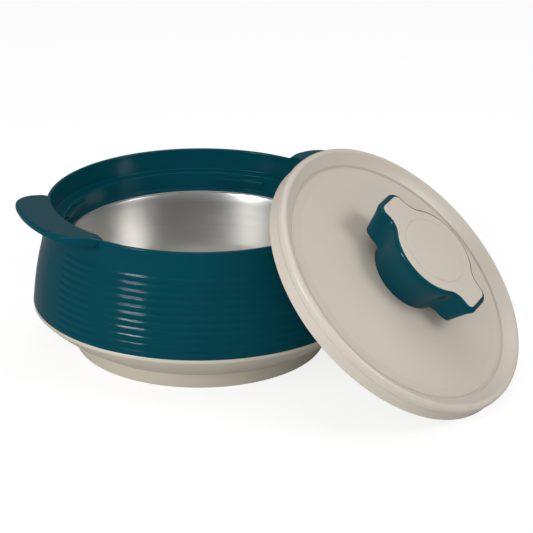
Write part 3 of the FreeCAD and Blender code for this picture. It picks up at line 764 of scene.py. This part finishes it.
# The cap's edge follows the handle's plan at this height, set in by CAP_EDGE, and by CAP_END at its ends
CAP_PLAN_H = 46.0
CAP_EDGE = 1.6
CAP_END = 1.6
CAP_THICK = 2.4
CAP_FLAT_R = 27.6
HANDLE_WALL = 2.6
HANDLE_FLOOR_H = 27.5
HANDLE_ROOT_H = 17.0
HANDLE_SEAT_GAP = 0.1


def disc_radius(height):
    (h0, r0), (h1, r1) = DISC_LOW, DISC_HIGH
    return r0 + (r1 - r0) * (height - h0) / (h1 - h0)


def lobe_section(height):
    for low, high in zip(LOBES, LOBES[1:]):
        if height <= high[0]:
            t = max(0.0, (height - low[0]) / (high[0] - low[0]))
            return tuple(a + t * (b - a) for a, b in zip(low[1:], high[1:]))
    return LOBES[-1][1:]


def handle_outline(height, inset=0.0, end=0.0, lobes=1.0):
    """Plan of the handle at a height: a disc with two lobes, joined by tangent arcs, as points in order."""
    lobe, length, corner = lobe_section(height)
    disc, lobe, length = disc_radius(height) - inset, lobe - inset, length - inset - end
    corner, neck = max(corner - inset, 0.5), NECK + inset
    neck_x = lobe + neck
    neck_y = math.sqrt((disc + neck) ** 2 - neck_x ** 2)
    joint = math.atan2(neck_y, neck_x)
    quarter = [(disc * math.cos(joint * k / 14), disc * math.sin(joint * k / 14)) for k in range(15)]
    first = math.atan2(-neck_y, -neck_x)
    quarter += [(neck_x + neck * math.cos(a), neck_y + neck * math.sin(a))
                for a in (first + (-math.pi - first) * k / 10 for k in range(1, 11))]
    quarter += [(lobe, neck_y + (length - corner - neck_y) * k / 3) for k in range(1, 4)]
    quarter += [(lobe - corner + corner * math.cos(0.5 * math.pi * k / 8),
                 length - corner + corner * math.sin(0.5 * math.pi * k / 8)) for k in range(1, 9)]
    quarter += [((lobe - corner) * (1.0 - k / 3), length) for k in range(1, 4)]
    half = quarter + [(-x, y) for x, y in quarter[-2::-1]]
    full = half + [(x, -y) for x, y in half[-2:0:-1]]
    shrunk = []
    for x, y in full:
        k = lobes + (1.0 - lobes) * disc / math.hypot(x, y)
        shrunk.append((x * k, y * k))
    return shrunk


def ring_stack(name, rings, close_last=True):
    """A closed skin through rings of points, extruded from the first one."""
    bpy.ops.object.select_all(action="DESELECT")
    bpy.ops.mesh.primitive_circle_add(vertices=len(rings[0]), radius=0.05, location=(0, 0, 0))
    piece = bpy.context.object
    piece.name = name
    edit(piece)
    bpy.ops.mesh.select_all(action="SELECT")
    for i, ring in enumerate(rings):
        if i:
            bpy.ops.mesh.extrude_region_move(TRANSFORM_OT_translate={"value": (0, 0, 0)})
        mesh = bmesh.from_edit_mesh(piece.data)
        mesh.verts.index_update()
        chosen = sorted((v for v in mesh.verts if v.select), key=lambda v: v.index)
        for vertex, point in zip(chosen, ring):
            vertex.co = Vector(point) * MM
        bmesh.update_edit_mesh(piece.data)
    if close_last:
        bpy.ops.mesh.merge(type="CENTER")
    bpy.ops.mesh.select_all(action="SELECT")
    bpy.ops.mesh.remove_doubles(threshold=MERGE)
    bpy.ops.mesh.select_all(action="SELECT")
    bpy.ops.mesh.normals_make_consistent(inside=False)
    done_editing()
    return piece


def crown_height(x, y, top):
    r2 = x * x + y * y
    return top - (CROWN_SPHERE - math.sqrt(CROWN_SPHERE ** 2 - r2))


def dome_height(x, y):
    return DOME_TOP - (DOME_SPHERE - math.sqrt(DOME_SPHERE ** 2 - x * x - y * y))


class CASSEROLE_OT_handle(bpy.types.Operator):
    """Teal handle body: a disc with two lobes on a narrower neck, open on top for its cap"""
    bl_idname = "casserole.handle"
    bl_label = "Handle"

    def execute(self, context):
        rings = [[(x, y, dome_height(x, y) + HANDLE_SEAT_GAP)
                  for x, y in handle_outline(HANDLE_ROOT_H, inset, 0.0, 0.0)]
                 for inset in (HANDLE_WALL, 0.3, 0.0)]
        for height, lobes in LOBE_GROWTH:
            rings.append([(x, y, height) for x, y in handle_outline(height, 0.0, 0.0, lobes)])
        for k in range(9):
            turn = 0.5 * math.pi * k / 8
            inward = 1.0 - math.cos(turn)
            outline = handle_outline(CAP_PLAN_H, CAP_EDGE * inward, CAP_END * inward)
            rings.append([(x, y, crown_height(x, y, CROWN_TOP - 0.25) - 3.0 * (1.0 - math.sin(turn)))
                          for x, y in outline])
        outline = handle_outline(CAP_PLAN_H, CAP_EDGE + 0.1, CAP_END)
        rings.append([(x, y, crown_height(x, y, CROWN_TOP - 2.2)) for x, y in outline])
        for height in (43.0, 38.0, 30.0):
            rings.append([(x, y, height) for x, y in handle_outline(height, HANDLE_WALL, CAP_END)])
        floor = handle_outline(HANDLE_FLOOR_H, HANDLE_WALL, CAP_END)
        rings += [[(x * k, y * k, HANDLE_FLOOR_H) for x, y in floor] for k in (1.0, 0.6, 0.2, 0.001)]
        piece = ring_stack("lid_handle_finished", rings)
        self.close_underside(piece)
        move_into_place(piece, lean_matrix(context.scene.casserole_lid.handle_turn))
        finish_piece(piece, "shell_teal", LID, "lid_handle", degrees=38.0)
        return {"FINISHED"}

    def close_underside(self, piece):
        """Close the open ring that rests on the dome."""
        edit(piece)
        bpy.ops.mesh.select_all(action="DESELECT")
        bpy.ops.mesh.select_non_manifold()
        bpy.ops.mesh.extrude_region_move(TRANSFORM_OT_translate={"value": (0, 0, 0.002)})
        bpy.ops.mesh.merge(type="CENTER")
        bpy.ops.mesh.select_all(action="SELECT")
        bpy.ops.mesh.normals_make_consistent(inside=False)
        done_editing()


class CASSEROLE_OT_handle_cap(bpy.types.Operator):
    """Beige cap on the handle with a crowned top and a fine circle"""
    bl_idname = "casserole.handle_cap"
    bl_label = "Handle cap"

    def execute(self, context):
        rings = []
        for drop, inset in ((CAP_THICK, 0.0), (0.7, 0.0), (0.35, 0.1), (0.1, 0.35), (0.0, 0.7), (0.0, 1.4)):
            outline = handle_outline(CAP_PLAN_H, CAP_EDGE + 0.15 + inset, CAP_END)
            rings.append([(x, y, crown_height(x, y, CROWN_TOP) - drop) for x, y in outline])
        outer = handle_outline(CAP_PLAN_H, CAP_EDGE + 1.55, CAP_END)
        for t in (0.2, 0.4, 0.6, 0.8, 1.0):
            ring = []
            for x, y in outer:
                k = CAP_FLAT_R / math.hypot(x, y)
                k = 1.0 + (min(k, 1.0) - 1.0) * t
                ring.append((x * k, y * k, crown_height(x * k, y * k, CROWN_TOP)))
            rings.append(ring)
        for radius, drop in ((26.9, 0.0), (26.55, 0.05), (26.3, 0.35), (26.1, 0.5), (25.9, 0.5),
                             (25.7, 0.35), (25.45, 0.05), (25.1, 0.0), (22.0, 0.0), (17.0, 0.0),
                             (11.0, 0.0), (5.0, 0.0), (0.05, 0.0)):
            rings.append([(x * radius / math.hypot(x, y), y * radius / math.hypot(x, y),
                           crown_height(radius, 0, CROWN_TOP) - drop) for x, y in outer])
        under = [[(x * k, y * k, crown_height(x * k, y * k, CROWN_TOP) - CAP_THICK) for x, y, _ in rings[0]]
                 for k in (0.001, 0.3, 0.7)]
        piece = ring_stack("handle_cap_finished", under + rings)
        edit(piece)
        bpy.ops.mesh.select_all(action="DESELECT")
        bpy.ops.mesh.select_non_manifold()
        bpy.ops.mesh.merge(type="CENTER")
        bpy.ops.mesh.select_all(action="SELECT")
        bpy.ops.mesh.normals_make_consistent(inside=False)
        done_editing()
        move_into_place(piece, lean_matrix(context.scene.casserole_lid.handle_turn))
        finish_piece(piece, "lid_beige", LID, "handle_cap", degrees=38.0)
        return {"FINISHED"}


class CASSEROLE_OT_inner_pieces(bpy.types.Operator):
    """Finishes for the pieces that keep their frame shape: foam, seal, filling plugs and fasteners"""
    bl_idname = "casserole.inner_pieces"
    bl_label = "Inner pieces"

    def execute(self, context):
        slots = {row["node"]: row["material_slot"] for row in frame["record"]["subparts"]}
        for name in ("bowl_seal", "body_foam", "base_fill_plug", "lid_foam", "lid_fill_plug",
                     "handle_screws", "handle_washers"):
            piece = frame["nodes"][name]
            piece.data.materials.clear()
            piece.data.materials.append(finish(slots[name]))
        return {"FINISHED"}


# The photograph's frame and the camera's film, and the floor's and world's share of light by kind of ray
FRAME_PIXELS = 533.0
FILM_MM = 36.0
FLOOR_COLOUR = (0.85, 0.85, 0.85)
FLOOR_SIZE = 12.0
FLOOR_DROP = -0.0002
FLOOR_SEEN_SHARE, FLOOR_SEEN_GLOW = 0.70, 1.15
FLOOR_MIRROR_SHARE, FLOOR_MIRROR_GLOW = 0.85, 0.15
WORLD_LIGHT, WORLD_SEEN = 0.36, 0.64
WORLD_MIRROR_UP, WORLD_MIRROR_LOW = 0.6, 0.28
# Lamps: name, place, target, size and power. The strip only makes the highlight on the ribs.
LAMPS = (
    ("key", (1.26, -0.62, 0.85), (0.1, 0, 0.05), (0.5, 0.5), 7.0),
    ("front", (-0.3, -1.6, 0.9), (0.05, 0, 0.05), (0.8, 0.5), 6.0),
    ("left", (-1.08, -0.97, 0.55), (0, 0, 0.06), (0.46, 0.5), 9.5),
    ("left strip", (-1.08, -0.97, 0.75), (0, 0, 0.06), (0.42, 0.10), 12.0),
    ("top", (0.1, 0.1, 1.7), (0, 0, 0), (1.2, 1.2), 7.0))
UNMIRRORED_LAMPS = ("front", "left")
MIRRORED_ONLY_LAMP = "left strip"


class CASSEROLE_OT_stage(bpy.types.Operator):
    """Pale floor, soft lamps and the camera of the photograph"""
    bl_idname = "casserole.stage"
    bl_label = "Stage"

    def execute(self, context):
        self.floor()
        self.lamps()
        self.world(context.scene)
        self.camera(context.scene)
        context.scene.view_settings.view_transform = "Standard"
        return {"FINISHED"}

    def floor(self):
        bpy.ops.object.select_all(action="DESELECT")
        bpy.ops.mesh.primitive_plane_add(size=FLOOR_SIZE, location=(0, 0, FLOOR_DROP))
        piece = bpy.context.object
        piece.name = "floor"
        material, shader = new_material("Pale floor", Base_Color=FLOOR_COLOUR, Roughness=0.9)
        tree = material.node_tree
        glow = tree.nodes.new("ShaderNodeEmission")
        glow.inputs["Color"].default_value = (1, 1, 1, 1)
        seen = tree.nodes.new("ShaderNodeLightPath")
        straight, mirrored, through = (ShaderMath(tree, seen.outputs[name]) for name in (
            "Is Camera Ray", "Is Glossy Ray", "Is Transmission Ray"))
        share = ((straight + through) * FLOOR_SEEN_SHARE + mirrored * FLOOR_MIRROR_SHARE).clamped()
        bright = (straight + through) * FLOOR_SEEN_GLOW + mirrored * FLOOR_MIRROR_GLOW
        tree.links.new(bright.socket, glow.inputs["Strength"])
        mix = tree.nodes.new("ShaderNodeMixShader")
        tree.links.new(share.socket, mix.inputs[0])
        tree.links.new(shader.outputs[0], mix.inputs[1])
        tree.links.new(glow.outputs[0], mix.inputs[2])
        tree.links.new(mix.outputs[0], tree.nodes["Material Output"].inputs[0])
        piece.data.materials.append(material)

    def lamps(self):
        for name, place, target, size, power in LAMPS:
            lamp = bpy.data.lights.new(name, "AREA")
            lamp.shape, lamp.energy = "RECTANGLE", power
            lamp.size, lamp.size_y = size
            holder = bpy.data.objects.new(name, lamp)
            holder.location = place
            aim = Vector(target) - Vector(place)
            holder.rotation_euler = aim.to_track_quat("-Z", "Y").to_euler()
            holder.visible_glossy = name not in UNMIRRORED_LAMPS
            holder.visible_diffuse = name != MIRRORED_ONLY_LAMP
            bpy.context.scene.collection.objects.link(holder)

    def world(self, scene):
        world = bpy.data.worlds.new("studio")
        scene.world = world
        world.use_nodes = True
        tree = world.node_tree
        seen = tree.nodes.new("ShaderNodeLightPath")
        straight = ShaderMath(tree, seen.outputs["Is Camera Ray"])
        mirrored = ShaderMath(tree, seen.outputs["Is Glossy Ray"])
        parts = tree.nodes.new("ShaderNodeSeparateXYZ")
        tree.links.new(object_place(tree).socket, parts.inputs[0])
        up = ShaderMath(tree, parts.outputs[2]).clamped()
        mirror_light = mirrored * (up * WORLD_MIRROR_UP - WORLD_MIRROR_LOW)
        strength = straight * WORLD_SEEN + WORLD_LIGHT + mirror_light
        tree.links.new(strength.socket, tree.nodes["Background"].inputs["Strength"])
        tree.nodes["Background"].inputs["Color"].default_value = (1, 1, 1, 1)

    def camera(self, scene):
        stage = scene.casserole_stage
        place = Vector((0, -stage.distance * math.cos(stage.elevation),
                        stage.distance * math.sin(stage.elevation)))
        ahead = -place.normalized()
        right = Vector((1, 0, 0))
        base = Matrix((right, -right.cross(ahead), ahead))
        middle = 0.5 * FRAME_PIXELS
        ray = Vector(((stage.foot_pixel[0] - middle) / stage.focal_pixels,
                      (stage.foot_pixel[1] - middle) / stage.focal_pixels, 1.0)).normalized()
        yaw, pitch = math.atan2(ray.x, ray.z), -math.asin(ray.y)
        turn = (Matrix.Rotation(stage.roll, 3, "Z") @ Matrix.Rotation(yaw, 3, "Y")
                @ Matrix.Rotation(pitch, 3, "X"))
        rows = turn @ base
        lens = bpy.data.cameras.new("camera")
        lens.sensor_width = FILM_MM
        lens.lens = FILM_MM * stage.focal_pixels / FRAME_PIXELS
        lens.clip_end = 50.0
        holder = bpy.data.objects.new("camera", lens)
        scene.collection.objects.link(holder)
        holder.matrix_world = Matrix.Translation(place) @ Matrix(
            (rows[0], -rows[1], -rows[2])).transposed().to_4x4()
        scene.camera = holder


class CASSEROLE_PT_panel(bpy.types.Panel):
    """Lists the pieces"""
    bl_idname = "CASSEROLE_PT_panel"
    bl_label = "Casserole"
    bl_space_type = "VIEW_3D"
    bl_region_type = "UI"
    bl_category = "Casserole"

    def draw(self, context):
        for operator in OPERATORS:
            self.layout.operator(operator.bl_idname, text=operator.bl_label)


OPERATORS = [
    CASSEROLE_OT_drum, CASSEROLE_OT_bowl, CASSEROLE_OT_base, CASSEROLE_OT_lid_cover,
    CASSEROLE_OT_lid_liner, CASSEROLE_OT_gasket, CASSEROLE_OT_handle, CASSEROLE_OT_handle_cap,
    CASSEROLE_OT_inner_pieces, CASSEROLE_OT_stage]
GROUPS = {"casserole_pot": PotSizes, "casserole_lid": LidSizes, "casserole_colours": FinishColours,
          "casserole_stage": StageSizes}


def register():
    for cls in list(GROUPS.values()) + OPERATORS + [CASSEROLE_PT_panel]:
        bpy.utils.register_class(cls)
    for name, group in GROUPS.items():
        setattr(bpy.types.Scene, name, bpy.props.PointerProperty(type=group))


def unregister():
    for name in GROUPS:
        delattr(bpy.types.Scene, name)
    for cls in [CASSEROLE_PT_panel] + OPERATORS[::-1] + list(GROUPS.values())[::-1]:
        bpy.utils.unregister_class(cls)


def main():
    register()
    for operator in OPERATORS:
        family, name = operator.bl_idname.split(".")
        getattr(getattr(bpy.ops, family), name)()


if __name__ == "__main__":
    main()
